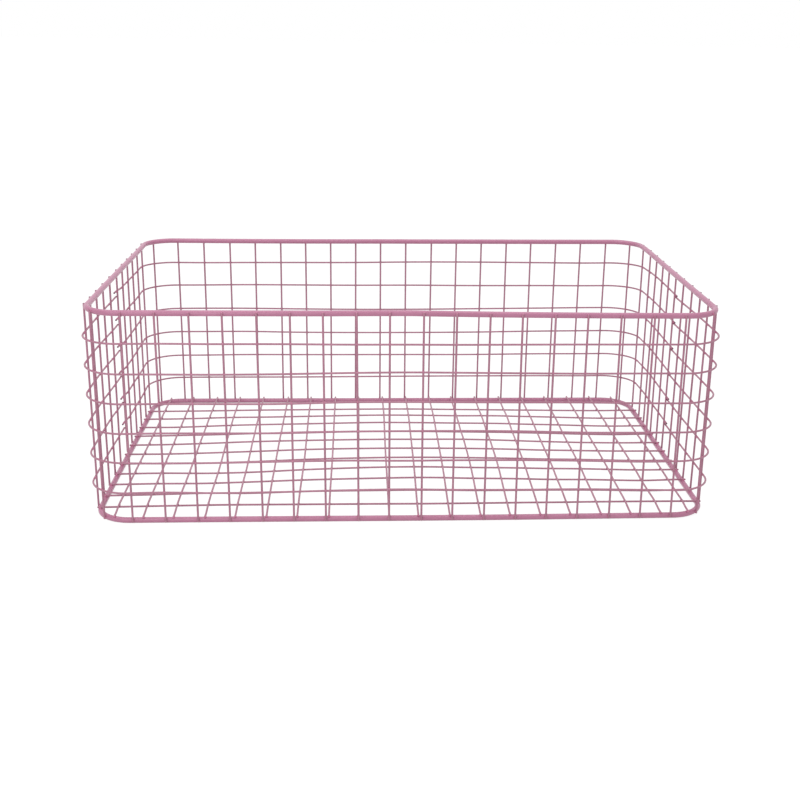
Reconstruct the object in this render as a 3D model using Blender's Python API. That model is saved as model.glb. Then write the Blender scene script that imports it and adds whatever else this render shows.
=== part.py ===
"""Welded steel wire drawer basket with rounded corners, standing on its bottom rim.

Metres, +Z up. X runs along the basket, Y from its front to its rear. The origin is the centre of the
footprint, on the surface that the basket stands on.

Two thick rod rims carry the uprights on their outer side. Thin hoops run round the uprights in two halves that
lap on the side walls, and two layers of floor wires lie on the bottom rim.

Most wires are objects of their own. The uprights of each long wall are one solid with the half hoop that they
are welded to, and the long floor wires are one solid with a cross wire, joined by the welds between them.
"""
import math

import bmesh
import bpy
from mathutils import Matrix, Vector

# Rims, measured along the rod's centre line.
RIM_LENGTH = 0.4918
RIM_DEPTH = 0.3084
RIM_SPACING = 0.1688
CORNER_RADIUS = 0.0270

# Rod and wire diameters.
RIM_ROD = 0.0041
UPRIGHT_WIRE = 0.0017
HOOP_WIRE = 0.0014
FLOOR_WIRE = 0.0015

# Clear gap between wires that touch, and the width of the welds that bridge it inside one solid.
WELD_GAP = 0.0003
WELD_WIDTH = 0.0010

# Uprights, spread evenly, at the same pitch in all walls. A wall's outermost ones stand just before its corner
# bends. Their cut ends stay inside the rims' top and underside.
LONG_WALL_UPRIGHTS = 18
LONG_WALL_END_GAP = 0.0030
SIDE_WALL_UPRIGHTS = 11
SIDE_WALL_END_GAP = 0.0002
UPRIGHT_SETBACK = 0.0006

# Hoops, spread evenly from the lowest, above the bottom rim's centre line, to the highest, below the top rim's.
# Each half runs a little past the middle of the side walls.
HOOP_LEVELS = 6
LOWEST_HOOP_RISE = 0.0248
HIGHEST_HOOP_DROP = 0.0233
REAR_HOOP_OVERRUN = 0.0080
FRONT_HOOP_OVERRUN = 0.0010

# Floor wires, spread evenly, with the outermost ones this far inside the rim's centre line. Long wires run
# along X, nearer the front than the rear. Cross wires lie on top of them along Y and slope down to the rim past
# the outermost long wires.
LONG_FLOOR_WIRES = 11
FRONT_FLOOR_INSET = 0.0223
REAR_FLOOR_INSET = 0.0415
CROSS_FLOOR_WIRES = 20
CROSS_FLOOR_INSET = 0.0154
FLOOR_SETBACK = 0.0002
SLOPE_CLEARANCE = 0.0010

# The hoop level and the cross wire that hold the other wires of their solid.
HOLDING_LEVEL = 3
HOLDING_CROSS_WIRE = 10

# Flat sides round each section, and steps round each bend.
ROD_SIDES = 12
WIRE_SIDES = 8
BEND_STEPS = 6

# Heights and places that follow from the sizes above.
BOTTOM_RIM_HEIGHT = RIM_ROD / 2
TOP_RIM_HEIGHT = BOTTOM_RIM_HEIGHT + RIM_SPACING
CORNER_X = RIM_LENGTH / 2 - CORNER_RADIUS
CORNER_Y = RIM_DEPTH / 2 - CORNER_RADIUS
UPRIGHT_OFFSET = RIM_ROD / 2 + WELD_GAP + UPRIGHT_WIRE / 2
HOOP_OFFSET = UPRIGHT_OFFSET + UPRIGHT_WIRE / 2 + WELD_GAP + HOOP_WIRE / 2
LAP_OFFSET = (HOOP_WIRE + WELD_GAP) / 2
LONG_FLOOR_HEIGHT = BOTTOM_RIM_HEIGHT + RIM_ROD / 2 + WELD_GAP + FLOOR_WIRE / 2
CROSS_FLOOR_HEIGHT = LONG_FLOOR_HEIGHT + FLOOR_WIRE + WELD_GAP
FLOOR_OVERHANG = RIM_ROD / 2 - FLOOR_SETBACK
FRONT_LONG_WIRE = RIM_DEPTH / 2 - FRONT_FLOOR_INSET
REAR_LONG_WIRE = RIM_DEPTH / 2 - REAR_FLOOR_INSET

RIGHT = Vector((1, 0, 0))
FRONT = Vector((0, -1, 0))
REAR = Vector((0, 1, 0))
UP = Vector((0, 0, 1))

# Satin pink powder coating, as linear colour.
COAT_COLOUR = (0.605, 0.262, 0.392, 1)
COAT_ROUGHNESS = 0.38
SHARP_EDGE_ANGLE = math.radians(50)


class WireBender:
    """Shapes one wire the way a bending machine does, with straight feeds and level turns."""

    def __init__(self, diameter, sides, start, heading):
        self.mesh = bmesh.new()
        self.position = start.copy()
        self.heading = heading.copy()
        across = UP.cross(heading)
        frame = Matrix.Translation(start) @ Matrix((across, UP, heading)).transposed().to_4x4()
        bmesh.ops.create_circle(
            self.mesh,
            segments=sides,
            radius=corner_radius(diameter, sides),
            matrix=frame @ half_side_turn(sides),
        )
        self.first = self.mesh.edges[:]
        self.last = self.first

    def feed(self, length, rise=0):
        """Push the wire along its heading, with an even rise over the length."""
        grown = bmesh.ops.extrude_edge_only(self.mesh, edges=self.last)["geom"]
        step = self.heading * length + UP * rise
        moved = [item for item in grown if isinstance(item, bmesh.types.BMVert)]
        bmesh.ops.translate(self.mesh, verts=moved, vec=step)
        self.last = [item for item in grown if isinstance(item, bmesh.types.BMEdge)]
        self.position += step

    def turn(self, radius):
        """Bend the wire a quarter turn to its left."""
        centre = self.position + UP.cross(self.heading) * radius
        ring = self.last + list({vert for edge in self.last for vert in edge.verts})
        bent = bmesh.ops.spin(
            self.mesh,
            geom=ring,
            cent=centre,
            axis=UP,
            angle=math.pi / 2,
            steps=BEND_STEPS,
            use_duplicate=False,
        )
        self.last = [item for item in bent["geom_last"] if isinstance(item, bmesh.types.BMEdge)]
        quarter = Matrix.Rotation(math.pi / 2, 3, "Z")
        self.position = centre + quarter @ (self.position - centre)
        self.heading = quarter @ self.heading

    def cut_ends(self):
        bmesh.ops.edgeloop_fill(self.mesh, edges=self.first)
        bmesh.ops.edgeloop_fill(self.mesh, edges=self.last)

    def join_ends(self):
        """Close the wire on itself, where its last section has come back to its first."""
        ends = list({vert for edge in self.first + self.last for vert in edge.verts})
        bmesh.ops.remove_doubles(self.mesh, verts=ends, dist=WELD_GAP / 2)


def corner_radius(diameter, sides):
    """Radius to the corners of a section whose flat sides lie on the diameter."""
    return diameter / 2 / math.cos(math.pi / sides)


def half_side_turn(sides):
    """Turns a section so that flat sides face along its frame's axes."""
    return Matrix.Rotation(math.pi / sides, 4, "Z")


def spread(count, first, last):
    """Evenly spaced places from the first to the last."""
    return [first + (last - first) * index / (count - 1) for index in range(count)]


def outline_reach(place, straight, corner, radius):
    """How far out a rounded outline lies, at a place along its other axis.

    The outline's bends have this radius, and their centres are at the corner's distance along the axis of the
    reach and at the straight's half length along the other one.
    """
    past = max(abs(place) - straight, 0)
    return corner + math.sqrt(radius**2 - past**2)


def add_bar(mesh, diameter, length, frame):
    """Add a straight round bar along the frame's Z axis, centred on its origin."""
    radius = corner_radius(diameter, WIRE_SIDES)
    bmesh.ops.create_cone(
        mesh, cap_ends=True, segments=WIRE_SIDES, radius1=radius, radius2=radius, depth=length, matrix=frame
    )


def powder_coat(name):
    """Satin pink coat, under the name of the piece that it covers."""
    material = bpy.data.materials.new(name + "_coat")
    material.use_nodes = True
    shader = material.node_tree.nodes["Principled BSDF"]
    shader.inputs["Base Color"].default_value = COAT_COLOUR
    shader.inputs["Roughness"].default_value = COAT_ROUGHNESS
    shader.inputs["Metallic"].default_value = 0
    return material


def add_object(name, mesh, location, angle=0):
    """Turn a finished bmesh into a coated object at its place, turned by an angle about Z."""
    bmesh.ops.recalc_face_normals(mesh, faces=mesh.faces)
    data = bpy.data.meshes.new(name)
    mesh.to_mesh(data)
    mesh.free()
    data.shade_smooth()
    data.set_sharp_from_angle(angle=SHARP_EDGE_ANGLE)
    data.materials.append(powder_coat(name))
    obj = bpy.data.objects.new(name, data)
    obj.location = location
    obj.rotation_euler.z = angle
    bpy.context.scene.collection.objects.link(obj)
    return obj


def weld_on(holder, name, mesh, location):
    """Join more shapes to an object. The helper that holds them isn't drawn."""
    helper = add_object(name, mesh, location)
    helper.hide_render = True
    helper.display_type = "WIRE"
    union = holder.modifiers.new(name, "BOOLEAN")
    union.operation = "UNION"
    union.solver = "EXACT"
    union.object = helper


def add_rim(name, height):
    """One closed rod, started at the middle of the right side wall."""
    rod = WireBender(RIM_ROD, ROD_SIDES, RIGHT * RIM_LENGTH / 2, REAR)
    rod.feed(CORNER_Y)
    for straight in (2 * CORNER_X, 2 * CORNER_Y, 2 * CORNER_X, CORNER_Y):
        rod.turn(CORNER_RADIUS)
        rod.feed(straight)
    rod.join_ends()
    add_object(name, rod.mesh, UP * height)


def add_half_hoop(name, height, side, overrun):
    """One U of wire round the uprights, open towards the basket's other half."""
    start = RIGHT * (RIM_LENGTH / 2 + HOOP_OFFSET) * side.y - side * overrun
    wire = WireBender(HOOP_WIRE, WIRE_SIDES, start, side)
    wire.feed(CORNER_Y + overrun)
    wire.turn(CORNER_RADIUS + HOOP_OFFSET)
    wire.feed(2 * CORNER_X)
    wire.turn(CORNER_RADIUS + HOOP_OFFSET)
    wire.feed(CORNER_Y + overrun)
    wire.cut_ends()
    return add_object(name, wire.mesh, UP * height)


def add_upright_bar(mesh, place):
    """A straight wire from just above the rims' underside to just below their top."""
    length = RIM_SPACING + RIM_ROD - 2 * UPRIGHT_SETBACK
    add_bar(mesh, UPRIGHT_WIRE, length, Matrix.Translation(place) @ half_side_turn(WIRE_SIDES))


def weld_long_wall(hoop, wall, side):
    """Join a long wall's uprights to a half hoop, by a weld at each crossing.

    A weld's corners face along both wires, so that none of its sides lies along a wire's edges.
    """
    across = Matrix.Rotation(math.pi / 2, 4, "X")
    welds = bmesh.new()
    uprights = bmesh.new()
    outermost = CORNER_X - LONG_WALL_END_GAP
    for x in spread(LONG_WALL_UPRIGHTS, -outermost, outermost):
        add_bar(welds, WELD_WIDTH, HOOP_OFFSET - UPRIGHT_OFFSET, Matrix.Translation(RIGHT * x) @ across)
        add_upright_bar(uprights, RIGHT * x)
    weld_reach = (RIM_DEPTH + HOOP_OFFSET + UPRIGHT_OFFSET) / 2
    weld_on(hoop, wall + "_upright_welds", welds, side * weld_reach + UP * hoop.location.z)
    middle = (BOTTOM_RIM_HEIGHT + TOP_RIM_HEIGHT) / 2
    weld_on(hoop, wall + "_uprights", uprights, side * (RIM_DEPTH / 2 + UPRIGHT_OFFSET) + UP * middle)


def add_hoops():
    """Both halves of every level, numbered from the top.

    A level's two halves lie one above the other where they lap, so each is half a wire and half a gap away from
    the level's own height.
    """
    lowest = BOTTOM_RIM_HEIGHT + LOWEST_HOOP_RISE
    pitch = (TOP_RIM_HEIGHT - HIGHEST_HOOP_DROP - lowest) / (HOOP_LEVELS - 1)
    halves = (("rear", REAR, LAP_OFFSET, REAR_HOOP_OVERRUN), ("front", FRONT, -LAP_OFFSET, FRONT_HOOP_OVERRUN))
    for level in range(1, HOOP_LEVELS + 1):
        height = lowest + (HOOP_LEVELS - level) * pitch
        for wall, side, lap, overrun in halves:
            holding = level == HOLDING_LEVEL
            name = f"{wall}_uprights_and_hoop_{level}" if holding else f"{wall}_hoop_{level}"
            hoop = add_half_hoop(name, height + lap, side, overrun)
            if holding:
                weld_long_wall(hoop, wall, side)


def add_upright(name, x, y, angle=0):
    mesh = bmesh.new()
    add_upright_bar(mesh, Vector())
    add_object(name, mesh, (x, y, (BOTTOM_RIM_HEIGHT + TOP_RIM_HEIGHT) / 2), angle)


def add_side_uprights():
    """Uprights of the two side walls, numbered from the front."""
    x = RIM_LENGTH / 2 + UPRIGHT_OFFSET
    outermost = CORNER_Y - SIDE_WALL_END_GAP
    for index, y in enumerate(spread(SIDE_WALL_UPRIGHTS, -outermost, outermost)):
        add_upright(f"left_upright_{index + 1}", -x, y)
        add_upright(f"right_upright_{index + 1}", x, y)


def add_corner_uprights():
    """One upright at the middle of each corner's bend."""
    out = (CORNER_RADIUS + UPRIGHT_OFFSET) * math.sqrt(0.5)
    x = CORNER_X + out
    y = CORNER_Y + out
    add_upright("front_left_corner_upright", -x, -y, math.pi / 4)
    add_upright("front_right_corner_upright", x, -y, -math.pi / 4)
    add_upright("rear_left_corner_upright", -x, y, -math.pi / 4)
    add_upright("rear_right_corner_upright", x, y, math.pi / 4)


def add_cross_floor_wire(name, x):
    """One wire of the upper floor layer, with both ends lowered onto the bottom rim."""
    end = outline_reach(x, CORNER_X, CORNER_Y, CORNER_RADIUS + FLOOR_OVERHANG)
    slope_foot = outline_reach(x, CORNER_X, CORNER_Y, CORNER_RADIUS) - RIM_ROD
    front_top = FRONT_LONG_WIRE + FLOOR_WIRE / 2 + SLOPE_CLEARANCE
    rear_top = REAR_LONG_WIRE + FLOOR_WIRE / 2 + SLOPE_CLEARANCE
    drop = CROSS_FLOOR_HEIGHT - LONG_FLOOR_HEIGHT
    wire = WireBender(FLOOR_WIRE, WIRE_SIDES, FRONT * end, REAR)
    wire.feed(end - slope_foot)
    wire.feed(slope_foot - front_top, rise=drop)
    wire.feed(front_top + rear_top)
    wire.feed(slope_foot - rear_top, rise=-drop)
    wire.feed(end - slope_foot)
    wire.cut_ends()
    return add_object(name, wire.mesh, (x, 0, LONG_FLOOR_HEIGHT))


def weld_long_floor_wires(holder, x):
    """Join the lower floor layer to a cross wire, by a weld at each crossing."""
    along = Matrix.Rotation(math.pi / 2, 4, "Y") @ half_side_turn(WIRE_SIDES)
    welds = bmesh.new()
    wires = bmesh.new()
    for y in spread(LONG_FLOOR_WIRES, -FRONT_LONG_WIRE, REAR_LONG_WIRE):
        place = Matrix.Translation(REAR * y)
        add_bar(welds, WELD_WIDTH, CROSS_FLOOR_HEIGHT - LONG_FLOOR_HEIGHT, place)
        reach = outline_reach(y, CORNER_Y, CORNER_X, CORNER_RADIUS + FLOOR_OVERHANG)
        add_bar(wires, FLOOR_WIRE, 2 * reach, place @ along)
    weld_on(holder, "floor_wire_welds", welds, (x, 0, (CROSS_FLOOR_HEIGHT + LONG_FLOOR_HEIGHT) / 2))
    weld_on(holder, "floor_long_wires", wires, UP * LONG_FLOOR_HEIGHT)


def add_floor():
    """Both floor layers, with the cross wires numbered from the left."""
    outermost = RIM_LENGTH / 2 - CROSS_FLOOR_INSET
    for index, x in enumerate(spread(CROSS_FLOOR_WIRES, -outermost, outermost)):
        number = index + 1
        if number == HOLDING_CROSS_WIRE:
            wire = add_cross_floor_wire(f"floor_long_wires_and_cross_wire_{number}", x)
            weld_long_floor_wires(wire, x)
        else:
            add_cross_floor_wire(f"floor_cross_wire_{number}", x)


def main():
    for thing in list(bpy.data.objects):
        bpy.data.objects.remove(thing)
    add_rim("top_rim", TOP_RIM_HEIGHT)
    add_rim("bottom_rim", BOTTOM_RIM_HEIGHT)
    add_hoops()
    add_side_uprights()
    add_corner_uprights()
    add_floor()


main()
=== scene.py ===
"""Looks of a welded steel wire drawer basket with a satin pink powder coat, on a white studio floor.

Two thick rod rims carry upright wires on their outer side. Thin half hoops run round the uprights and lap on the
side walls, and a mat of crossed wires lies on the bottom rim. Every wire of the real basket is a piece here, with
rounded cut ends, and the weld nuggets between the wires are pieces too.

Lengths are in metres, +Z up, X along the basket and Y from its front to its rear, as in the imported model.
"""
import logging
import math
from dataclasses import dataclass, field
from enum import Enum
from typing import Callable, Iterable, Sequence

import bmesh
import bpy
from mathutils import Matrix, Vector

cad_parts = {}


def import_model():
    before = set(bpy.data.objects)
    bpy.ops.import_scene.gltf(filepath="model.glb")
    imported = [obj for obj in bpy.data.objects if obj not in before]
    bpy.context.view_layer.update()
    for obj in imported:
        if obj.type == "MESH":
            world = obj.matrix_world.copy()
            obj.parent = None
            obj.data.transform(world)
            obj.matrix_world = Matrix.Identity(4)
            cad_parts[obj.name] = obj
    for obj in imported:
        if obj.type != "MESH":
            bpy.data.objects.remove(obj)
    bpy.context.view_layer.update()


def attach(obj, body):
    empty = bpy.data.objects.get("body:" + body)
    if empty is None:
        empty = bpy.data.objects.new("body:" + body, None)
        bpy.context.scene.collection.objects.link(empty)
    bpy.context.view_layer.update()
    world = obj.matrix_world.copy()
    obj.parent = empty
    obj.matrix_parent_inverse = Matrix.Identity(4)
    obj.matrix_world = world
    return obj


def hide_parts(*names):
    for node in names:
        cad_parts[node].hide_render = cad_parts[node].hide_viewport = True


LOG = logging.getLogger("drawer_basket")

RIGHT = Vector((1.0, 0.0, 0.0))
REAR = Vector((0.0, 1.0, 0.0))
FRONT = Vector((0.0, -1.0, 0.0))
UP = Vector((0.0, 0.0, 1.0))
MM = 0.001
MM_PER_METRE = 1000
WHITE = "#FFFFFF"
BODY = "root"

Stray = Callable[[Vector], Vector]


def linear(code: str) -> tuple[float, float, float, float]:
    """Turn an sRGB hex colour into a linear one.

    Args:
        code: Six hex digits, with or without a leading #.

    Returns:
        Red, green, blue and an alpha of one.
    """
    parts = [value / 255 for value in bytes.fromhex(code.lstrip("#"))]
    red, green, blue = (p / 12.92 if p <= 0.04045 else ((p + 0.055) / 1.055) ** 2.4 for p in parts)
    return red, green, blue, 1.0


def add_node(
    tree: bpy.types.NodeTree, kind: str, settings: dict | None = None, links: dict | None = None
) -> bpy.types.Node:
    """Add a node to a tree, with its settings and what feeds it.

    Args:
        tree: The node tree that gets the node.
        kind: Blender's name of the node type.
        settings: Values by the name of a property, or of an input where there is no such property.
        links: Output sockets by the name or number of the input that each one feeds.

    Returns:
        The new node.
    """
    node = tree.nodes.new(kind)
    for key, value in (settings or {}).items():
        if isinstance(key, str) and hasattr(node, key):
            setattr(node, key, value)
        else:
            node.inputs[key].default_value = value
    for key, socket in (links or {}).items():
        tree.links.new(socket, node.inputs[key])
    return node


@dataclass(frozen=True)
class PowderCoat:
    """Polyester powder, sprayed on the welded basket and baked: an even satin paint with a fine orange peel.

    The eye gets a soft, broad highlight along each rod, a colour that hardly varies, and a slightly uneven gloss.
    Orange peel on wire is about a millimetre from crest to crest and a few hundredths of one high.
    """

    name: str
    colour: str
    shade: str
    roughness: float
    ior: float = 1.5
    patch_mm: float = 38.0
    peel_mm: float = 1.1
    peel_height_mm: float = 0.03
    peel_strength: float = 0.35
    gloss_spread: float = 0.06
    # The noise's usual range, with the colour at its low end and the shade at its high end.
    noise_range: tuple[float, float] = (0.35, 0.65)

    def material(self) -> bpy.types.Material:
        """Build the node material of this coat.

        Returns:
            The material, with its patterns in object coordinates.
        """
        material = bpy.data.materials.new(self.name)
        material.use_nodes = True
        tree = material.node_tree
        tree.nodes.clear()
        place = add_node(tree, "ShaderNodeTexCoord").outputs["Object"]
        patches = add_node(
            tree,
            "ShaderNodeTexNoise",
            {"Scale": MM_PER_METRE / self.patch_mm, "Detail": 3.0, "Roughness": 0.6},
            {"Vector": place},
        )
        spread = add_node(
            tree,
            "ShaderNodeMapRange",
            {"From Min": self.noise_range[0], "From Max": self.noise_range[1]},
            {"Value": patches.outputs["Fac"]},
        )
        tint = add_node(tree, "ShaderNodeMix", {"data_type": "RGBA"}, {0: spread.outputs["Result"]})
        tint.inputs[6].default_value = linear(self.colour)
        tint.inputs[7].default_value = linear(self.shade)
        gloss = add_node(
            tree,
            "ShaderNodeMapRange",
            {"To Min": self.roughness - self.gloss_spread, "To Max": self.roughness + self.gloss_spread},
            {"Value": patches.outputs["Fac"]},
        )
        peel = add_node(
            tree,
            "ShaderNodeTexNoise",
            {"Scale": MM_PER_METRE / self.peel_mm, "Detail": 1.0, "Roughness": 0.4},
            {"Vector": place},
        )
        relief = add_node(
            tree,
            "ShaderNodeBump",
            {"Strength": self.peel_strength, "Distance": self.peel_height_mm * MM},
            {"Height": peel.outputs["Fac"]},
        )
        shader = add_node(
            tree,
            "ShaderNodeBsdfPrincipled",
            {"IOR": self.ior, "Metallic": 0.0},
            {
                "Base Color": tint.outputs[2],
                "Roughness": gloss.outputs["Result"],
                "Normal": relief.outputs["Normal"],
            },
        )
        add_node(tree, "ShaderNodeOutputMaterial", links={"Surface": shader.outputs["BSDF"]})
        return material


@dataclass
class Finishes:
    """The finishes of the basket, each built once and shared by its pieces."""

    # The powder on the thick rods, in its satin pink.
    rod: PowderCoat = PowderCoat("powder_coat_on_rods", "#C27E9D", "#BC7897", 0.30, 1.55, peel_strength=0.2)
    # The same powder on the wires, in a darker and greyer pink than on the rods.
    wire: PowderCoat = PowderCoat("powder_coat_on_wires", "#B97F95", "#B0768C", 0.36, patch_mm=21.0, peel_strength=0.2)
    # Lighter, more saturated pink on the welds and on the ends of the front and rear uprights and the cross wires: a
    # painted highlight, for the light their flattened or upturned faces catch.
    weld: PowderCoat = PowderCoat("powder_coat_on_welds_painted_highlight", "#D984A8", "#D07B9F", 0.35, patch_mm=7.0, peel_strength=0.1)
    # Dark grey mauve on the cut ends of the side and corner uprights, the hoops and the long floor wires: painted
    # shade, for the shade those small tips sit in.
    shaded_cut_end: PowderCoat = PowderCoat("powder_coat_on_cut_ends_painted_shade", "#70505F", "#654755", 0.55, patch_mm=2.0)

    def __post_init__(self) -> None:
        """Build the materials."""
        self.rod_material = self.rod.material()
        self.wire_material = self.wire.material()
        self.painted_highlight_material = self.weld.material()
        self.shaded_cut_end_material = self.shaded_cut_end.material()


@dataclass(frozen=True)
class Outline:
    """The rounded rectangle that the rims' centre line follows, and the lines parallel to it."""

    half_length: float = 0.2459
    half_depth: float = 0.1542
    radius: float = 0.0270

    @property
    def corner_x(self) -> float:
        """Distance of the bends' centres from the middle, along X."""
        return self.half_length - self.radius

    @property
    def corner_y(self) -> float:
        """Distance of the bends' centres from the middle, along Y."""
        return self.half_depth - self.radius

    def reach_x(self, y: float, offset: float = 0.0) -> float:
        """How far out in X the line lies.

        Args:
            y: Place along Y.
            offset: Distance of a parallel line outside the rims' centre line.

        Returns:
            The distance from the middle.
        """
        past = max(abs(y) - self.corner_y, 0.0)
        return self.corner_x + math.sqrt((self.radius + offset) ** 2 - past**2)

    def reach_y(self, x: float, offset: float = 0.0) -> float:
        """How far out in Y the line lies.

        Args:
            x: Place along X.
            offset: Distance of a parallel line outside the rims' centre line.

        Returns:
            The distance from the middle.
        """
        past = max(abs(x) - self.corner_x, 0.0)
        return self.corner_y + math.sqrt((self.radius + offset) ** 2 - past**2)


@dataclass(frozen=True)
class Drift:
    """How far a wire that was set by hand strays from its place, at stations along it."""

    stations: Sequence[float]
    strays_mm: Sequence[float]

    def at(self, place: float) -> float:
        """Stray at one place, which passes smoothly from each station to the next.

        Args:
            place: Where along the wire, in metres.

        Returns:
            The stray in metres.
        """
        if place <= self.stations[0]:
            return self.strays_mm[0] * MM
        for index in range(1, len(self.stations)):
            if place <= self.stations[index]:
                span = self.stations[index] - self.stations[index - 1]
                share = (place - self.stations[index - 1]) / span
                before, after = self.strays_mm[index - 1], self.strays_mm[index]
                bulge = (1 - share) * (self.slope(index - 1) * span - after + before)
                bulge -= share * (self.slope(index) * span - after + before)
                return (before + (after - before) * share + share * (1 - share) * bulge) * MM
        return self.strays_mm[-1] * MM

    def slope(self, index: int) -> float:
        """Slope of the course at one of its stations.

        Args:
            index: Number of the station, from zero.

        Returns:
            The slope between its neighbours, in millimetres per metre, or none at the two ends.
        """
        if index in (0, len(self.stations) - 1):
            return 0.0
        rise = self.strays_mm[index + 1] - self.strays_mm[index - 1]
        return rise / (self.stations[index + 1] - self.stations[index - 1])


@dataclass(frozen=True)
class Stock:
    """Coated rod and wire diameters, how deep a weld presses them together and the heights that follow."""

    rod: float = 0.0046
    upright: float = 0.0017
    hoop: float = 0.0016
    floor: float = 0.0016
    press: float = 0.00015
    height: float = 0.1729

    @property
    def low_rim(self) -> float:
        """Height of the bottom rim's centre line."""
        return self.rod / 2

    @property
    def high_rim(self) -> float:
        """Height of the top rim's centre line."""
        return self.height - self.rod / 2

    @property
    def upright_offset(self) -> float:
        """Distance of the uprights' centre lines outside the rims' centre line."""
        return (self.rod + self.upright) / 2 - self.press

    @property
    def hoop_offset(self) -> float:
        """Distance of the hoops' centre lines outside the rims' centre line."""
        return self.upright_offset + (self.upright + self.hoop) / 2 - self.press

    @property
    def long_floor_height(self) -> float:
        """Height of the lower floor layer's centre lines."""
        return self.rod + self.floor / 2 - self.press

    @property
    def cross_floor_height(self) -> float:
        """Height of the upper floor layer's centre lines."""
        return self.long_floor_height + self.floor - self.press


class Wall(Enum):
    """A long wall, by the direction that it faces."""

    FRONT = "front"
    REAR = "rear"

    @property
    def side(self) -> Vector:
        """Unit vector out of the basket, through the wall."""
        return FRONT.copy() if self is Wall.FRONT else REAR.copy()


class End(Enum):
    """A side wall, by the direction that it faces."""

    LEFT = "left"
    RIGHT = "right"

    @property
    def sign(self) -> float:
        """Sign of the wall's X."""
        return -1.0 if self is End.LEFT else 1.0


def spread(count: int, first: float, last: float) -> list[float]:
    """Evenly spaced places.

    Args:
        count: How many places.
        first: The first place.
        last: The last place.

    Returns:
        The places in order.
    """
    return [first + (last - first) * index / (count - 1) for index in range(count)]


def verts_of(edges: Iterable[bmesh.types.BMEdge]) -> list[bmesh.types.BMVert]:
    """The vertices of some edges, each once, in the order of the edges."""
    return list(dict.fromkeys(vert for edge in edges for vert in edge.verts))


class WireBender:
    """Shapes one wire as a bending machine does, with straight feeds and turns of a round section."""

    # Length of a section that is fed, and sections in a quarter turn.
    RING_PITCH = 0.008
    BEND_STEPS = 14
    # How far in from a cut edge the coat rounds it, as a share of the diameter.
    EDGE_ROUNDING = 0.18
    MERGE_DISTANCE = 0.0001

    def __init__(self, diameter: float, sides: int, start: Vector, heading: Vector, axis: Vector = UP) -> None:
        """Lay the first section.

        Args:
            diameter: The wire's diameter.
            sides: Flat sides round the section.
            start: Centre of the first section.
            heading: Unit vector along the wire.
            axis: Unit vector that the wire is bent round, square to the heading.
        """
        self.mesh = bmesh.new()
        self.diameter = diameter
        self.position = start.copy()
        self.heading = heading.copy()
        self.axis = axis.copy()
        frame = Matrix((axis.cross(heading), axis, heading)).transposed().to_4x4()
        bmesh.ops.create_circle(
            self.mesh, segments=sides, radius=diameter / 2, matrix=Matrix.Translation(start) @ frame
        )
        self.first = self.mesh.edges[:]
        self.last = self.first

    def feed(self, length: float, drift: Vector | None = None) -> None:
        """Push the wire along its heading.

        Args:
            length: How far it goes.
            drift: What it strays sideways over the length.
        """
        steps = max(1, round(length / self.RING_PITCH))
        step = (self.heading * length + (drift or Vector())) / steps
        for _ in range(steps):
            grown = bmesh.ops.extrude_edge_only(self.mesh, edges=self.last)["geom"]
            moved = [item for item in grown if isinstance(item, bmesh.types.BMVert)]
            bmesh.ops.translate(self.mesh, verts=moved, vec=step)
            self.last = [item for item in grown if isinstance(item, bmesh.types.BMEdge)]
            self.position += step

    def turn(self, radius: float) -> None:
        """Bend the wire a quarter turn to its left.

        Args:
            radius: The bend's radius at the wire's centre line.
        """
        centre = self.position + self.axis.cross(self.heading) * radius
        bent = bmesh.ops.spin(
            self.mesh,
            geom=self.last + verts_of(self.last),
            cent=centre,
            axis=self.axis,
            angle=math.pi / 2,
            steps=self.BEND_STEPS,
            use_duplicate=False,
        )
        self.last = [item for item in bent["geom_last"] if isinstance(item, bmesh.types.BMEdge)]
        quarter = Matrix.Rotation(math.pi / 2, 3, self.axis)
        self.position = centre + quarter @ (self.position - centre)
        self.heading = quarter @ self.heading

    def cut_ends(self) -> None:
        """Close both ends with a sheared face, whose edge the coat has rounded."""
        rims = []
        for ring in (self.first, self.last):
            caps = bmesh.ops.edgeloop_fill(self.mesh, edges=ring, mat_nr=1)["faces"]
            rims += [edge for face in caps for edge in face.edges]
        bmesh.ops.bevel(
            self.mesh,
            geom=rims,
            offset=self.diameter * self.EDGE_ROUNDING,
            offset_type="OFFSET",
            affect="EDGES",
            segments=2,
            profile=0.5,
            material=-1,
        )

    def join_ends(self) -> None:
        """Close the wire on itself, where its last section has come back to its first."""
        bmesh.ops.remove_doubles(self.mesh, verts=verts_of(self.first + self.last), dist=self.MERGE_DISTANCE)


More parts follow.
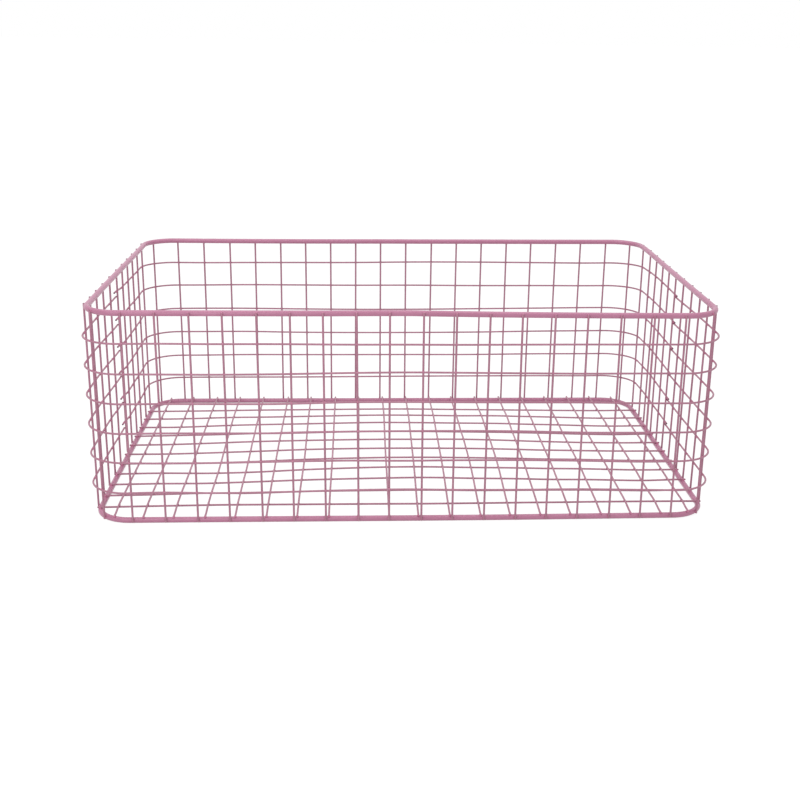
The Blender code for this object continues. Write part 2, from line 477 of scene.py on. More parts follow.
@dataclass
class SubAssembly:
    """What all sub-assemblies share: the outline, the stock that they are made of and the finishes."""

    outline: Outline
    stock: Stock
    finishes: Finishes

    def dress(
        self, name: str, mesh: bmesh.types.BMesh, materials: Sequence[bpy.types.Material], nodes: Iterable[str] = ()
    ) -> bpy.types.Object:
        """Turn a finished bmesh into a piece of the basket.

        Args:
            name: The piece's name.
            mesh: Its shape, which is used up.
            materials: Its materials, by material index.
            nodes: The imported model's nodes that it stands for.

        Returns:
            The piece's object.
        """
        bmesh.ops.recalc_face_normals(mesh, faces=mesh.faces)
        data = bpy.data.meshes.new(name)
        mesh.to_mesh(data)
        mesh.free()
        data.shade_smooth()
        for material in materials:
            data.materials.append(material)
        piece = bpy.data.objects.new(name, data)
        bpy.context.scene.collection.objects.link(piece)
        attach(piece, BODY)
        for node in nodes:
            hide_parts(node)
        LOG.info("%s: %d faces", name, len(data.polygons))
        return piece

    def dress_wire(self, name: str, wire: WireBender, node: str, stray: Stray, shade_painted_ends: bool) -> bpy.types.Object:
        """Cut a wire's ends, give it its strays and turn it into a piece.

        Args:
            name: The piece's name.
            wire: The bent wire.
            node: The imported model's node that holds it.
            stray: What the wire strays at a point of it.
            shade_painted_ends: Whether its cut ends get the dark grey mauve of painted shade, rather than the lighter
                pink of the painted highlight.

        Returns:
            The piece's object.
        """
        wire.cut_ends()
        for vert in wire.mesh.verts:
            vert.co += stray(vert.co)
        # Dark grey mauve of painted shade on the shaded ends, lighter pink of the painted highlight on the others.
        end = self.finishes.shaded_cut_end_material if shade_painted_ends else self.finishes.painted_highlight_material
        return self.dress(name, wire.mesh, (self.finishes.wire_material, end), (node,))


@dataclass
class Rims(SubAssembly):
    """The two closed rods, one along the top edge and one that the basket stands on."""

    sides: int = 28
    # How far up the rods stray, in millimetres, at stations in X along the long walls.
    stations: tuple[float, ...] = (-0.246, -0.149, -0.07, 0.0, 0.02, 0.08, 0.16, 0.246)
    top_front: tuple[float, ...] = (0.4, 0.3, 0.3, 0.6, 0.3, -0.5, -1.1, -1.2)
    top_rear: tuple[float, ...] = (-0.2, -0.4, -0.3, 0.0, 0.0, 0.2, 0.4, 0.7)
    bottom_front: tuple[float, ...] = (-0.2, -0.2, -0.3, -0.4, -0.4, -0.3, 0.1, 0.5)
    # At stations in Y, the side walls lean to the left or right, and the top rim rises on the right.
    side_stations: tuple[float, ...] = (-0.150, -0.060, 0.030, 0.110, 0.150)
    left_lean: tuple[float, ...] = (0.0, -0.2, 0.2, 0.6, 0.2)
    right_lean: tuple[float, ...] = (-0.2, 0.0, 0.3, 0.7, 0.1)
    right_rise: tuple[float, ...] = (0.1, 0.3, 0.6, 1.0, 0.2)

    def build(self) -> None:
        """Make both rims."""
        self.add_rim("top_rim", self.stock.high_rim)
        self.add_rim("bottom_rim", self.stock.low_rim)

    def stray(self, point: Vector) -> Vector:
        """How far the rods, and what is welded to them, stray at a point.

        Args:
            point: A place on the basket.

        Returns:
            The stray, which passes from rim to rim and from wall to wall.
        """
        rise = min(max(point.z / self.stock.height, 0.0), 1.0)
        depth = min(max(0.5 + point.y / (2 * self.outline.half_depth), 0.0), 1.0)
        top_front, top_rear = (Drift(self.stations, run).at(point.x) for run in (self.top_front, self.top_rear))
        bottom_front = Drift(self.stations, self.bottom_front).at(point.x)
        top = top_front + (top_rear - top_front) * depth
        if point.x > 0:
            top += Drift(self.side_stations, self.right_rise).at(point.y) * self.side_share(point)
        return UP * (top * rise + bottom_front * (1 - depth) * (1 - rise)) + self.lean(point)

    def side_share(self, point: Vector) -> float:
        """How far a point is on its way round a corner to the side wall, from 0 to 1."""
        shape = self.outline
        return min(max((abs(point.x) - shape.corner_x) / shape.radius, 0.0), 1.0)

    def lean(self, point: Vector) -> Vector:
        """How far the side walls lean to the left or right at a point.

        Args:
            point: A place on the basket.

        Returns:
            The stray along X, which fades out round the corners.
        """
        leans = self.left_lean if point.x < 0 else self.right_lean
        return RIGHT * Drift(self.side_stations, leans).at(point.y) * self.side_share(point)

    def add_rim(self, node: str, height: float) -> None:
        """Bend one closed rod, started at the middle of the right side wall.

        Args:
            node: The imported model's node that it stands for.
            height: Height of its centre line.
        """
        shape = self.outline
        rod = WireBender(self.stock.rod, self.sides, RIGHT * shape.half_length + UP * height, REAR)
        rod.feed(shape.corner_y)
        for straight in (2 * shape.corner_x, 2 * shape.corner_y, 2 * shape.corner_x, shape.corner_y):
            rod.turn(shape.radius)
            rod.feed(straight)
        rod.join_ends()
        for vert in rod.mesh.verts:
            vert.co += self.stray(vert.co)
        self.dress("coated_" + node, rod.mesh, (self.finishes.rod_material,), (node,))


@dataclass(frozen=True)
class Post:
    """One upright: where it stands on the rims and how its ends stray along them."""

    name: str
    node: str
    foot: Vector
    out: Vector
    bottom_mm: float
    top_mm: float
    shade_painted_ends: bool


@dataclass
class Uprights(SubAssembly):
    """The upright wires, welded to the outer side of both rims."""

    rims: Rims
    sides: int = 12
    long_wall_reach: float = 0.2159
    side_wall_reach: float = 0.1270
    # How far the ends stay inside the basket's height, at the bottom and at the top of the long and side walls.
    bottom_setback: float = 0.0013
    top_setback: float = 0.0009
    side_setback: float = 0.0013
    # What the ends stray, in millimetres: along X on the long walls, from the left.
    front_top: tuple[float, ...] = (
        0.2, 0.0, 0.4, -0.1, 0.3, 0.2, -0.3, -0.1, -0.2, 0.3, 0.2, 0.4, -0.2, -0.2, -0.4, -0.1, 0.5, -0.4,
    )
    front_bottom: tuple[float, ...] = (
        0.4, 0.9, 0.9, 0.7, 1.2, 0.5, 0.5, 1.2, 0.1, 0.6, 0.0, 0.2, 0.2, -0.3, -0.5, 0.2, 0.1, -0.1,
    )
    rear_top: tuple[float, ...] = (
        -0.8, -0.4, 0.2, 0.1, 0.2, -0.2, -0.4, -0.5, -0.8, -0.7, -0.1, -0.1, -0.1, 0.1, -0.2, 0.0, 0.1, 0.7,
    )
    rear_bottom: tuple[float, ...] = (
        -0.9, -0.7, 0.2, -0.6, -0.4, -0.2, -0.8, -1.1, -0.9, -0.3, -0.5, -0.4, -0.2, 0.2, -0.1, -0.3, -0.3, 0.3,
    )
    # Along Y on the side walls, from the front.
    left_top: tuple[float, ...] = (1.4, -1.3, -3.0, -2.5, 0.3, 4.5, 4.5, 4.0, 3.0, 2.6, 4.5)
    left_bottom: tuple[float, ...] = (3.0, 0.5, -2.0, -2.0, -2.1, 4.5, 1.7, 2.1, 0.9, 1.8, 3.0)
    right_top: tuple[float, ...] = (3.0, -0.3, -1.5, -1.8, 0.3, 1.4, 0.7, -1.0, -1.6, -1.0, 3.0)
    right_bottom: tuple[float, ...] = (3.0, 4.2, 3.6, 1.4, 4.5, 4.2, 1.1, -0.5, 4.0, -0.6, 3.0)
    # Along the bend at the corners, towards +X.
    corners: dict[str, tuple[float, float]] = field(
        default_factory=lambda: {
            "front_left": (1.2, 0.4),
            "front_right": (-0.6, -0.3),
            "rear_left": (0.4, 0.5),
            "rear_right": (-1.0, -0.7),
        }
    )

    def __post_init__(self) -> None:
        """Settle where every upright stands."""
        self.posts: list[Post] = []
        shape = self.outline
        for wall, bottoms, tops in (
            (Wall.FRONT, self.front_bottom, self.front_top),
            (Wall.REAR, self.rear_bottom, self.rear_top),
        ):
            places = spread(len(tops), -self.long_wall_reach, self.long_wall_reach)
            for number, (x, bottom, top) in enumerate(zip(places, bottoms, tops), 1):
                name = f"coated_{wall.value}_upright_{number}"
                foot = RIGHT * x + wall.side * shape.half_depth
                self.posts.append(Post(name, f"{wall.value}_uprights_and_hoop_3", foot, wall.side, bottom, top, False))
        for end, bottoms, tops in (
            (End.LEFT, self.left_bottom, self.left_top),
            (End.RIGHT, self.right_bottom, self.right_top),
        ):
            places = spread(len(tops), -self.side_wall_reach, self.side_wall_reach)
            for number, (y, bottom, top) in enumerate(zip(places, bottoms, tops), 1):
                node = f"{end.value}_upright_{number}"
                foot = RIGHT * end.sign * shape.half_length + REAR * y
                self.posts.append(Post("coated_" + node, node, foot, RIGHT * end.sign, bottom, top, True))
        for wall in Wall:
            for end in End:
                corner = f"{wall.value}_{end.value}"
                out = (RIGHT * end.sign + wall.side).normalized()
                centre = RIGHT * end.sign * shape.corner_x + wall.side * shape.corner_y
                node = corner + "_corner_upright"
                bottom, top = self.corners[corner]
                self.posts.append(Post("coated_" + node, node, centre + out * shape.radius, out, bottom, top, True))

    def build(self) -> None:
        """Make the uprights of all walls and corners."""
        for post in self.posts:
            setback = self.side_setback if post.shade_painted_ends else self.top_setback
            start = post.foot + post.out * self.stock.upright_offset + UP * self.bottom_setback
            wire = WireBender(self.stock.upright, self.sides, start, UP, FRONT)
            wire.feed(self.stock.height - self.bottom_setback - setback)
            self.dress_wire(post.name, wire, post.node, lambda point: self.stray(post, point), post.shade_painted_ends)

    def stray(self, post: Post, point: Vector) -> Vector:
        """How far one upright strays at a point of it.

        Args:
            post: The upright.
            point: The point.

        Returns:
            The stray along the wall, and with the rims.
        """
        out = post.out
        along = Vector((abs(out.y), -out.x * math.copysign(1.0, out.y), 0.0)) if out.y else REAR
        share = point.z / self.stock.height
        return along * (post.bottom_mm + (post.top_mm - post.bottom_mm) * share) * MM + self.rims.stray(point)


@dataclass
class HalfHoops(SubAssembly):
    """The thin wires round the uprights, in two halves at each of six levels."""

    rims: Rims
    sides: int = 12
    levels: int = 6
    joined_level: int = 3
    lowest: float = 0.02685
    highest: float = 0.14755
    # How far a half lies above or below its level, so that the two halves can lap.
    lap: float = 0.00085
    # How far the halves reach past the middle of the left and of the right side wall.
    overruns: dict[Wall, tuple[float, float]] = field(
        default_factory=lambda: {Wall.REAR: (0.0023, 0.0010), Wall.FRONT: (0.0045, 0.0055)}
    )
    # Stations along a half, by X on its long wall and onwards round the corners, and how far up each level strays.
    stations: dict[Wall, tuple[float, ...]] = field(
        default_factory=lambda: {
            Wall.REAR: (
                -0.405, -0.375, -0.337, -0.311, -0.203, -0.15, -0.1, -0.045, 0.02,
                0.08, 0.15, 0.203, 0.286, 0.311, 0.337, 0.375, 0.405,
            ),
            Wall.FRONT: (
                -0.4, -0.36, -0.311, -0.229, -0.19, -0.15, -0.1, -0.045, 0.0,
                0.04, 0.09, 0.14, 0.19, 0.229, 0.311, 0.362, 0.4,
            ),
        }
    )
    strays: dict[Wall, tuple[tuple[float, ...], ...]] = field(
        default_factory=lambda: {
            Wall.REAR: (
                (3.5, 1.3, 0.8, 0.2, -1.1, -0.8, -0.6, -0.4, 0.4, 0.55, 0.2, 0.05, 1.5, 2.5, 2.8, 2.3, 1.5),
                (3.2, 1.0, 0.5, -0.2, 0.0, 0.5, 0.4, 0.2, 0.45, 0.2, 0.4, 0.4, 1.5, 2.0, 2.1, 1.5, 1.0),
                (2.7, -0.8, -1.3, -1.3, -0.1, 0.0, -0.5, -0.9, -0.75, -0.1, 0.7, 1.35, 1.8, 2.5, 2.2, 1.2, 0.8),
                (2.5, -0.7, -1.1, -0.9, -0.5, -0.3, -1.1, -1.4, -1.3, -0.9, 0.2, 0.7, 1.6, 2.4, 2.5, 1.5, 0.8),
                (2.5, -0.8, -1.2, -1.8, -1.5, -0.9, -1.0, -1.0, -0.95, -0.95, -0.2, -0.1, 1.0, 1.8, 2.0, 1.0, 0.5),
                (2.3, -0.8, -1.4, -2.2, -1.2, -1.1, -1.1, -0.8, -0.4, -0.2, -0.1, -0.2, 0.8, 1.4, 1.2, 1.1, 0.8),
            ),
            Wall.FRONT: (
                (0.6, 1.1, 1.4, 1.4, 1.6, 1.3, 1.3, 0.9, 0.9, 0.75, 0.9, 1.0, 0.95, 1.1, 2.3, 2.0, 1.5),
                (-0.7, 0.6, 2.1, 1.6, 1.5, 1.25, 1.6, 2.5, 2.9, 2.6, 2.1, 1.7, 1.8, 1.7, 2.0, 1.8, 1.2),
                (-0.5, 1.1, 2.4, 1.8, 2.0, 1.85, 1.75, 3.0, 3.1, 2.8, 2.5, 2.3, 1.5, 1.4, 1.1, 0.6, 0.5),
                (-0.5, 0.7, 2.4, 1.8, 2.2, 2.1, 2.0, 3.1, 3.3, 3.3, 2.8, 1.5, 1.2, 1.2, 0.2, 0.1, 0.4),
                (-1.1, 1.0, 1.4, 1.9, 1.5, 1.7, 2.5, 3.1, 2.7, 2.9, 2.7, 1.9, 0.8, 1.1, 0.1, -0.1, 0.2),
                (-1.3, -0.3, 0.6, 0.65, 1.3, 0.5, 1.0, 2.2, 2.6, 1.9, 1.6, 1.7, 0.8, 0.1, -0.2, -0.4, 0.2),
            ),
        }
    )

    def build(self) -> None:
        """Make both halves of every level."""
        for level in range(1, self.levels + 1):
            for wall in Wall:
                self.add_half(level, wall)

    def height(self, level: int, wall: Wall) -> float:
        """Height of a half hoop's centre line.

        Args:
            level: Number of the level, from the top.
            wall: The long wall that the half runs along.

        Returns:
            The height. A rear half lies on top of the front half where they lap.
        """
        middle = spread(self.levels, self.highest, self.lowest)[level - 1]
        return middle + (self.lap if wall is Wall.REAR else -self.lap)

    def stray(self, level: int, wall: Wall, point: Vector) -> Vector:
        """How far a half hoop strays at a point of it.

        Args:
            level: Number of the level, from the top.
            wall: The long wall that the half runs along.
            point: The point.

        Returns:
            The stray, up or down the uprights.
        """
        past = max(self.outline.half_depth - point.dot(wall.side), 0.0)
        run = point.x + math.copysign(past, point.x)
        rise = UP * Drift(self.stations[wall], self.strays[wall][level - 1]).at(run)
        return rise + self.rims.lean(point)

    def wall_of(self, foot: Vector) -> Wall:
        """Tell which half hoops pass an upright.

        Args:
            foot: Where the upright stands.

        Returns:
            The long wall that these halves belong to.
        """
        return Wall.REAR if foot.y > -self.overruns[Wall.REAR][0] / 2 else Wall.FRONT

    def add_half(self, level: int, wall: Wall) -> None:
        """Bend one U of wire, open towards the basket's other half.

        Args:
            level: Number of the level, from the top.
            wall: The long wall that the half runs along.
        """
        shape = self.outline
        side = wall.side
        first, last = self.overruns[wall] if wall is Wall.FRONT else reversed(self.overruns[wall])
        offset = self.stock.hoop_offset
        start = RIGHT * (shape.half_length + offset) * side.y - side * first + UP * self.height(level, wall)
        wire = WireBender(self.stock.hoop, self.sides, start, side)
        wire.feed(shape.corner_y + first)
        wire.turn(shape.radius + offset)
        wire.feed(2 * shape.corner_x)
        wire.turn(shape.radius + offset)
        wire.feed(shape.corner_y + last)
        name = f"{wall.value}_hoop_{level}"
        node = f"{wall.value}_uprights_and_hoop_{level}" if level == self.joined_level else name
        self.dress_wire("coated_" + name, wire, node, lambda point: self.stray(level, wall, point), True)


@dataclass
class FloorMat(SubAssembly):
    """The two layers of floor wires, which lie on the bottom rim."""

    rims: Rims
    sides: int = 12
    front_long: float = -0.1319
    rear_long: float = 0.1127
    cross_reach: float = 0.2305
    end_setback: float = 0.0002
    # How far outside the outermost long wires the cross wires start down to the rim.
    slope_clearance: float = 0.00175
    joined_cross_wire: int = 10
    joined_node: str = "floor_long_wires_and_cross_wire_10"
    # How far up the long wires stray, in millimetres, at stations in X: one row for each wire, from the front.
    long_stations: tuple[float, ...] = (
        -0.246, -0.210, -0.165, -0.130, -0.080, -0.020, 0.020, 0.060, 0.100, 0.130, 0.165, 0.210, 0.246,
    )
    long_strays: tuple[tuple[float, ...], ...] = (
        (0.0, 0.1, 0.1, 0.1, 0.1, 0.1, 0.0, 0.1, 0.2, 0.1, 0.2, 0.1, 0.0),
        (0.0, 0.1, 0.6, 0.1, 1.5, 2.0, 2.1, 1.4, 1.2, 1.1, 0.6, -0.6, 0.0),
        (0.0, 0.1, -0.4, 0.4, 2.1, 3.3, 3.7, 2.7, 1.9, 0.9, 0.4, -0.8, 0.0),
        (0.0, 0.1, -0.8, -0.2, 2.1, 3.9, 4.1, 3.2, 2.5, 1.6, 1.0, -0.2, 0.0),
        (0.0, 0.0, -0.4, 0.4, 2.4, 3.7, 3.8, 3.2, 2.3, 1.3, 0.7, -0.2, 0.0),
        (0.0, -0.3, 0.2, 1.1, 2.8, 3.6, 3.5, 3.1, 2.1, 1.0, 0.3, -0.2, 0.0),
        (0.0, 0.0, 0.8, 1.8, 2.8, 3.5, 3.4, 3.2, 2.0, 0.7, -0.3, -0.5, 0.0),
        (0.0, 0.1, 0.4, 1.2, 2.5, 2.8, 2.6, 2.0, 1.3, 0.5, -0.4, -0.9, 0.0),
        (0.0, -0.2, 0.9, 1.6, 2.4, 3.4, 3.1, 2.5, 1.9, 0.9, 0.1, -0.6, 0.0),
        (0.0, 0.0, 0.8, 1.0, 1.8, 2.7, 2.5, 1.8, 1.6, 0.7, -0.1, -0.7, 0.0),
        (0.0, -0.1, 0.0, 0.3, 0.6, 1.0, 0.9, 0.3, -0.2, -0.6, -0.9, -0.7, 0.0),
    )
    # How far towards the rear their left and right ends stray, and how far from the middle that has faded out.
    long_ends: tuple[tuple[float, float], ...] = (
        (-2.8, -0.7),
        (-2.8, 0.6),
        (-2.9, -0.6),
        (-3.0, -1.4),
        (-3.1, -2.7),
        (-3.3, -2.3),
        (-3.4, -4.0),
        (-3.3, -3.8),
        (-2.8, -4.0),
        (-2.4, -4.0),
        (-2.7, -4.0),
    )
    fade_start: float = 0.15
    # How far the cross wires stray along X, in millimetres, at stations in Y: one row for each wire, from the left.
    cross_stations: tuple[float, ...] = (-0.150, -0.030, 0.110)
    cross_strays: tuple[tuple[float, ...], ...] = (
        (-0.1, 0.4, 0.3),
        (-1.4, -1.3, -1.3),
        (-1.8, -1.5, -1.0),
        (-1.2, -1.1, -1.7),
        (-1.7, -1.3, -1.4),
        (-1.2, -1.0, -0.2),
        (-1.0, 0.1, -0.7),
        (0.0, 0.7, 0.5),
        (-0.8, -0.2, 0.4),
        (-0.3, -0.1, 1.1),
        (-1.1, 0.1, 1.2),
        (0.0, 0.9, 1.7),
        (0.6, 1.5, 0.4),
        (0.2, 1.9, 1.2),
        (0.6, 1.7, 2.4),
        (0.8, 1.7, 1.9),
        (1.4, 2.5, 2.4),
        (1.5, 2.3, 2.3),
        (1.9, 2.3, 1.9),
        (0.9, 1.4, 0.5),
    )

    def build(self) -> None:
        """Make both layers."""
        for number, y in enumerate(self.long_places(), 1):
            self.add_long_wire(number, y)
        for number, x in enumerate(self.cross_places(), 1):
            self.add_cross_wire(number, x)

    def long_places(self) -> list[float]:
        """Y of the lower layer's wires, from the front."""
        return spread(len(self.long_strays), self.front_long, self.rear_long)

    def cross_places(self) -> list[float]:
        """X of the upper layer's wires, from the left."""
        return spread(len(self.cross_strays), -self.cross_reach, self.cross_reach)

    def lift(self, point: Vector) -> float:
        """How far the mat strays up or down at a point.

        Args:
            point: A place on the mat.

        Returns:
            The rise of the long wires there, which the cross wires follow.
        """
        places = self.long_places()
        rises = [Drift(self.long_stations, strays).at(point.x) / MM for strays in self.long_strays]
        edge = self.outline.half_depth
        return Drift([-edge, *places, edge], [0.0, *rises, 0.0]).at(point.y)

    def long_stray(self, number: int, point: Vector) -> Vector:
        """How far a long wire strays at a point of it.

        Args:
            number: Its number, from the front.
            point: The point.

        Returns:
            The stray, up or down.
        """
        left, right = self.long_ends[number - 1]
        share = max((abs(point.x) - self.fade_start) / (self.outline.half_length - self.fade_start), 0.0)
        back = REAR * (left if point.x < 0 else right) * share * MM
        rise = UP * Drift(self.long_stations, self.long_strays[number - 1]).at(point.x)
        return back + rise + self.rims.stray(point)

    def cross_stray(self, number: int, point: Vector) -> Vector:
        """How far a cross wire strays at a point of it.

        Args:
            number: Its number, from the left.
            point: The point.

        Returns:
            The stray along X, and up or down with the long wires that it lies on.
        """
        aside = Drift(self.cross_stations, self.cross_strays[number - 1]).at(point.y)
        return RIGHT * aside + UP * self.lift(point) + self.rims.stray(point)

    def add_long_wire(self, number: int, y: float) -> None:
        """Make one wire of the lower layer, from side rod to side rod.

        Args:
            number: Its number, from the front.
            y: Its place.
        """
        reach = self.outline.reach_x(y, self.stock.rod / 2 - self.end_setback)
        start = -RIGHT * reach + REAR * y + UP * self.stock.long_floor_height
        wire = WireBender(self.stock.floor, self.sides, start, RIGHT)
        wire.feed(2 * reach)
        name = f"coated_floor_long_wire_{number}"
        self.dress_wire(name, wire, self.joined_node, lambda point: self.long_stray(number, point), True)

    def add_cross_wire(self, number: int, x: float) -> None:
        """Make one wire of the upper layer, with both ends brought down onto the bottom rim.

        Args:
            number: Its number, from the left.
            x: Its place.
        """
        end = self.outline.reach_y(x, self.stock.rod / 2 - self.end_setback)
        foot = self.outline.reach_y(x) - self.stock.rod
        front_top = self.slope_clearance - self.front_long
        rear_top = self.slope_clearance + self.rear_long
        rise = UP * (self.stock.cross_floor_height - self.stock.long_floor_height)
        start = RIGHT * x - REAR * end + UP * self.stock.long_floor_height
        wire = WireBender(self.stock.floor, self.sides, start, REAR)
        wire.feed(end - foot)
        wire.feed(foot - front_top, rise)
        wire.feed(front_top + rear_top)
        wire.feed(foot - rear_top, -rise)
        wire.feed(end - foot)
        name = f"floor_cross_wire_{number}"
        node = self.joined_node if number == self.joined_cross_wire else name
        self.dress_wire("coated_" + name, wire, node, lambda point: self.cross_stray(number, point), False)


@dataclass
class Welds(SubAssembly):
    """The nuggets that resistance welding leaves where wires cross, in a lighter pink that is a painted highlight."""

    uprights: Uprights
    hoops: HalfHoops
    floor: FloorMat
    segments: int = 8
    rings: int = 4
    # Half sizes in millimetres: out of the basket or along X, along the rod or Y, and up.
    rim_weld: tuple[float, float, float] = (0.7, 1.0, 1.2)
    hoop_weld: tuple[float, float, float] = (1.75, 1.05, 1.0)
    floor_weld: tuple[float, float, float] = (1.05, 1.05, 1.6)
    end_weld_length: float = 1.4

    def nugget(self, mesh: bmesh.types.BMesh, place: Vector, size: Vector, turn: float = 0.0) -> None:
        """Add one flattened drop to a group of welds.

        Args:
            mesh: The group's mesh.
            place: The drop's middle.
            size: Its half sizes.
            turn: Its angle round Z.
        """
        matrix = Matrix.Translation(place) @ Matrix.Rotation(turn, 4, "Z") @ Matrix.Diagonal(size).to_4x4()
        bmesh.ops.create_uvsphere(mesh, u_segments=self.segments, v_segments=self.rings, radius=1.0, matrix=matrix)

    def group(self, name: str, mesh: bmesh.types.BMesh) -> None:
        """Turn a group of nuggets into a piece."""
        # The nuggets get the lighter pink of the painted highlight.
        self.dress(name, mesh, (self.finishes.painted_highlight_material,))

    def build(self) -> None:
        """Make all groups of welds."""
        stock = self.stock
        for name, height in (("top_rim_welds", stock.high_rim), ("bottom_rim_welds", stock.low_rim)):
            self.add_upright_welds(name, lambda post: UP * height, (stock.rod / 2, self.rim_weld))
        offset = stock.upright_offset + stock.upright / 2 - stock.press / 2
        for level in range(1, self.hoops.levels + 1):
            self.add_upright_welds(
                f"hoop_{level}_welds", lambda post: self.hoop_rise(level, post), (offset, self.hoop_weld)
            )
        self.add_floor_welds()

    def hoop_rise(self, level: int, post: Post) -> Vector:
        """Height at which a hoop crosses an upright.

        Args:
            level: Number of the hoop's level.
            post: The upright.

        Returns:
            The height, as a vector.
        """
        wall = self.hoops.wall_of(post.foot)
        height = UP * self.hoops.height(level, wall)
        return height + self.hoops.stray(level, wall, post.foot + height) - self.uprights.rims.stray(post.foot + height)

    def add_upright_welds(
        self, name: str, rise: Callable[[Post], Vector], fit: tuple[float, tuple[float, float, float]]
    ) -> None:
        """Make the welds of all uprights at one height.

        Args:
            name: The group's name.
            rise: The height at each upright, as a vector.
            fit: Distance of the welds outside the rims' centre line, and their half sizes in millimetres.
        """
        offset, size = fit
        mesh = bmesh.new()
        for post in self.uprights.posts:
            place = post.foot + post.out * offset + rise(post)
            place += self.uprights.stray(post, place)
            self.nugget(mesh, place, Vector(size) * MM, math.atan2(post.out.y, post.out.x))
        self.group(name, mesh)

    def add_floor_welds(self) -> None:
        """Make the welds where the floor wires cross, and where their ends lie on the bottom rim."""
        stock, floor, shape = self.stock, self.floor, self.outline
        crossings, ends = bmesh.new(), bmesh.new()
        height = UP * (stock.long_floor_height + stock.cross_floor_height) / 2
        for number, x in enumerate(floor.cross_places(), 1):
            for y in floor.long_places():
                place = RIGHT * x + REAR * y + height
                self.nugget(crossings, place + floor.cross_stray(number, place), Vector(self.floor_weld) * MM)
            for sign in (-1, 1):
                place = RIGHT * x + REAR * sign * shape.reach_y(x) + UP * stock.rod
                size = Vector((self.floor_weld[0], self.end_weld_length, self.floor_weld[2])) * MM
                self.nugget(ends, place + floor.cross_stray(number, place), size)
        for number, y in enumerate(floor.long_places(), 1):
            for sign in (-1, 1):
                place = RIGHT * sign * shape.reach_x(y) + REAR * y + UP * stock.rod
                size = Vector((self.end_weld_length, self.floor_weld[1], self.floor_weld[2])) * MM
                self.nugget(ends, place + floor.long_stray(number, place), size)
        self.group("floor_crossing_welds", crossings)
        self.group("floor_end_welds", ends)


@dataclass(frozen=True)
class Softbox:
    """A square soft lamp: its name, where it hangs, its side and its power in watts."""

    name: str
    place: tuple[float, float, float]
    size: float
    watts: float


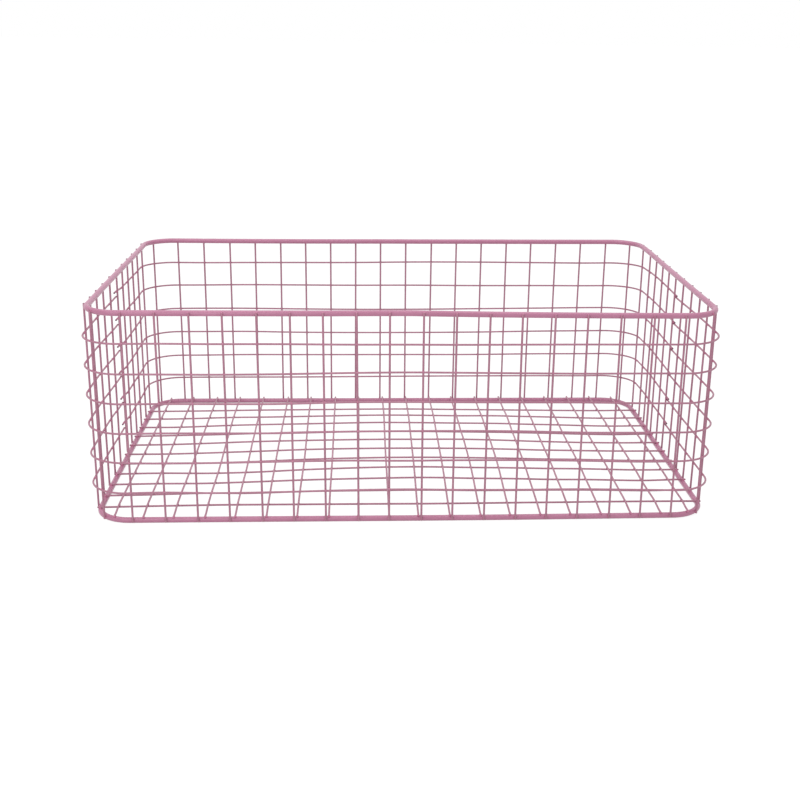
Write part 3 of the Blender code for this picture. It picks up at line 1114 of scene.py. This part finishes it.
@dataclass
class Studio:
    """White sweep, soft lights and the camera of the picture."""

    focal_px: float = 1185.81
    image_px: float = 800.0
    sensor_mm: float = 36.0
    eye: tuple[float, float, float] = (-0.03936, -1.03337, 0.38476)
    yaw: float = -0.0585
    pitch: float = 0.3059
    roll: float = 0.0153
    centre_px: tuple[float, float] = (21.55, -6.06)
    floor_half: float = 20.0
    # Strength of the glow that the camera sees on the floor, and of the light from all sides.
    floor_glow: float = 0.9
    ambient: float = 0.62
    softboxes: tuple[Softbox, ...] = (
        Softbox("overhead_softbox", (-0.15, 0.0, 1.5), 1.6, 9.5),
        Softbox("front_softbox", (-0.40, -0.95, 0.45), 0.6, 1.8),
    )
    # Where the softboxes are aimed: the middle of the basket.
    aim: tuple[float, float, float] = (0.0, 0.0, 0.08)

    def build(self) -> None:
        """Set the stage."""
        self.add_camera()
        self.add_floor()
        self.add_world()
        for softbox in self.softboxes:
            self.add_lamp(softbox)
        bpy.context.scene.view_settings.view_transform = "Standard"

    def add_camera(self) -> None:
        """Place the camera, with its shift in place of the picture's off-centre crop."""
        data = bpy.data.cameras.new("camera")
        data.sensor_width = self.sensor_mm
        data.lens = self.focal_px / self.image_px * self.sensor_mm
        data.shift_x = -self.centre_px[0] / self.image_px
        data.shift_y = self.centre_px[1] / self.image_px
        data.clip_start = 0.01
        data.clip_end = 100.0
        camera = bpy.data.objects.new("camera", data)
        camera.matrix_world = (
            Matrix.Translation(self.eye)
            @ Matrix.Rotation(self.yaw, 4, "Z")
            @ Matrix.Rotation(math.pi / 2 - self.pitch, 4, "X")
            @ Matrix.Rotation(self.roll, 4, "Z")
        )
        bpy.context.scene.collection.objects.link(camera)
        bpy.context.scene.camera = camera

    def add_floor(self) -> None:
        """Lay the white floor, which shows white with the basket's faint shadow and bounces light as paper does."""
        mesh = bmesh.new()
        bmesh.ops.create_grid(mesh, x_segments=1, y_segments=1, size=self.floor_half)
        data = bpy.data.meshes.new("floor")
        mesh.to_mesh(data)
        mesh.free()
        floor = bpy.data.objects.new("floor", data)
        bpy.context.scene.collection.objects.link(floor)
        material = bpy.data.materials.new("white_sweep_paper")
        material.use_nodes = True
        tree = material.node_tree
        tree.nodes.clear()
        seen = self.seen_ray(tree)
        paper = add_node(tree, "ShaderNodeBsdfDiffuse", {"Color": linear("#E6E6E6")})
        shade = add_node(tree, "ShaderNodeBsdfDiffuse", {"Color": linear("#777777")})
        glow = add_node(tree, "ShaderNodeEmission", {"Color": linear(WHITE), "Strength": self.floor_glow})
        white = add_node(tree, "ShaderNodeAddShader", links={0: shade.outputs[0], 1: glow.outputs[0]})
        mix = add_node(tree, "ShaderNodeMixShader", links={0: seen, 1: paper.outputs[0], 2: white.outputs[0]})
        add_node(tree, "ShaderNodeOutputMaterial", links={"Surface": mix.outputs[0]})
        data.materials.append(material)

    def seen_ray(self, tree: bpy.types.NodeTree) -> bpy.types.NodeSocket:
        """Add nodes that tell the rays that show a background from those that light the basket.

        Args:
            tree: The node tree that gets the nodes.

        Returns:
            A socket with one for camera, glossy and transmission rays.
        """
        path = add_node(tree, "ShaderNodeLightPath")
        glossy = add_node(
            tree,
            "ShaderNodeMath",
            {"operation": "MAXIMUM"},
            {0: path.outputs["Is Camera Ray"], 1: path.outputs["Is Glossy Ray"]},
        )
        seen = add_node(
            tree,
            "ShaderNodeMath",
            {"operation": "MAXIMUM"},
            {0: glossy.outputs[0], 1: path.outputs["Is Transmission Ray"]},
        )
        return seen.outputs[0]

    def add_world(self) -> None:
        """Make the surroundings: white where they are seen, plain ambient light elsewhere."""
        world = bpy.data.worlds.new("white_studio")
        bpy.context.scene.world = world
        world.use_nodes = True
        tree = world.node_tree
        tree.nodes.clear()
        seen = self.seen_ray(tree)
        ambient = add_node(tree, "ShaderNodeBackground", {"Color": linear(WHITE), "Strength": self.ambient})
        white = add_node(tree, "ShaderNodeBackground", {"Color": linear(WHITE), "Strength": 1.0})
        mix = add_node(tree, "ShaderNodeMixShader", links={0: seen, 1: ambient.outputs[0], 2: white.outputs[0]})
        add_node(tree, "ShaderNodeOutputWorld", links={"Surface": mix.outputs[0]})

    def add_lamp(self, softbox: Softbox) -> None:
        """Hang a softbox that faces the basket.

        Args:
            softbox: The lamp.
        """
        data = bpy.data.lights.new(softbox.name, "AREA")
        data.shape = "SQUARE"
        data.size = softbox.size
        data.energy = softbox.watts
        lamp = bpy.data.objects.new(softbox.name, data)
        lamp.location = softbox.place
        lamp.rotation_euler = (Vector(self.aim) - Vector(softbox.place)).to_track_quat("-Z", "Y").to_euler()
        bpy.context.scene.collection.objects.link(lamp)


def main() -> None:
    """Build the basket and its studio."""
    logging.basicConfig(level=logging.INFO, format="%(name)s: %(message)s")
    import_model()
    Studio().build()
    shared = (Outline(), Stock(), Finishes())
    rims = Rims(*shared)
    uprights = Uprights(*shared, rims=rims)
    hoops = HalfHoops(*shared, rims=rims)
    floor = FloorMat(*shared, rims=rims)
    welds = Welds(*shared, uprights=uprights, hoops=hoops, floor=floor)
    for part in (rims, uprights, hoops, floor, welds):
        part.build()
        LOG.info("%s built", type(part).__name__)


if __name__ == "__main__":
    main()
